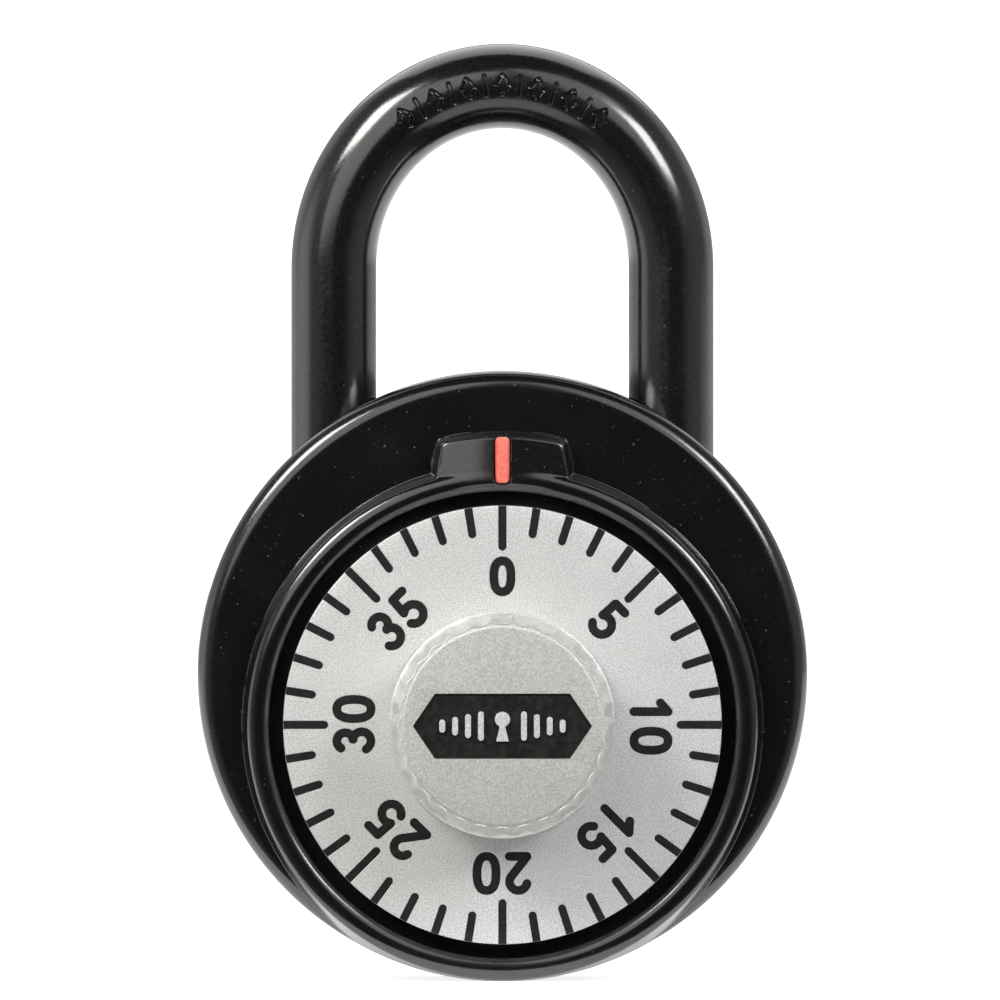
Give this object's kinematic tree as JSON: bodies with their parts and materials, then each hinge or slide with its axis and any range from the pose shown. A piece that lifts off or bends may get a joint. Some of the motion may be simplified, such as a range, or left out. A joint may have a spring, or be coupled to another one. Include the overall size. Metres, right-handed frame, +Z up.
{
  "type": "combination padlock",
  "caption": "Round black combination padlock with a numbered silver dial, fluted knob, red index bar and a round-bar shackle that slides up to open.",
  "frame": {"origin": "inner crown of the shackle in the middle plane of its bar, where the closed padlock hangs", "axes": "+X to the right seen from the dial side, +Y out of the back cover, +Z up towards the shackle; the dial faces -Y"},
  "size_m": [0.05, 0.0266, 0.077],
  "materials": {
    "black_coating": "satin black baked coating on drawn steel, with a fine orange-peel texture",
    "shackle_black": "smooth semi-gloss black coating on hardened steel bar",
    "dial_silver": "fine-grained silver metallic surface with black filled marks",
    "knob_silver": "satin silver metallic with bright flute crests",
    "inlay_black": "dark satin inlay with a raised silver emblem",
    "index_red": "coral red paint filling, slightly glossy",
    "cast_zinc": "as-cast zinc alloy, light grey",
    "wheel_brass": "stamped brass",
    "bright_steel": "turned bright steel",
    "spring_steel": "drawn spring steel"
  },
  "bodies": {
    "case": {"front_case": "black_coating", "index_mark": "index_red", "back_cover": "black_coating", "inner_case": "cast_zinc", "spindle_bush": "wheel_brass", "wheel_post": "bright_steel", "post_clip": "spring_steel", "wheel_spacer": "bright_steel", "wave_spring": "spring_steel", "lever_pivot": "bright_steel", "pivot_clip": "spring_steel", "shackle_spring": "spring_steel"},
    "dial": {"dial_plate": "dial_silver", "dial_knob": "knob_silver", "knob_inlay": "inlay_black", "spindle": "bright_steel", "spindle_clip": "spring_steel", "drive_cam": "bright_steel"},
    "middle_wheel": {"wheel_2": "wheel_brass"},
    "rear_wheel": {"wheel_1": "wheel_brass"},
    "lever": {"locking_lever": "cast_zinc", "lever_spring": "spring_steel", "latch_spring": "spring_steel"},
    "latch": {"latch_bolt": "bright_steel"},
    "shackle": {"shackle": "shackle_black", "heel_clip": "spring_steel"}
  },
  "joints": [
    {"name": "dial_spin", "type": "hinge", "parent": "case", "child": "dial", "pos_m": [0, -0.01, -0.049], "axis": [0, 1, 0], "continuous": true},
    {"name": "wheel_2_spin", "type": "hinge", "parent": "case", "child": "middle_wheel", "pos_m": [0, -0.0008, -0.049], "axis": [0, 1, 0], "range_deg": [-160, 0]},
    {"name": "wheel_1_spin", "type": "hinge", "parent": "case", "child": "rear_wheel", "pos_m": [0, 0.0024, -0.049], "axis": [0, 1, 0], "range_deg": [-160, 0]},
    {"name": "shackle_lift", "type": "slide", "parent": "case", "child": "shackle", "axis": [0, 0, 1], "range_m": [0, 0.0115], "deforming": ["shackle_spring"]},
    {"name": "lever_turn", "type": "hinge", "parent": "case", "child": "lever", "pos_m": [-0.0115, 0, -0.06], "axis": [0, 1, 0], "range_deg": [0, 11]},
    {"name": "latch_slide", "type": "slide", "parent": "lever", "child": "latch", "axis": [1, 0, 0], "range_m": [0, 0.002], "stiffness_N_per_m": 150, "springref_m": -0.003, "deforming": ["latch_spring"]}
  ],
  "couplings": [
    {"joint": "lever_turn", "follows": "shackle_lift", "rad_per_m": 16.67}
  ]
}
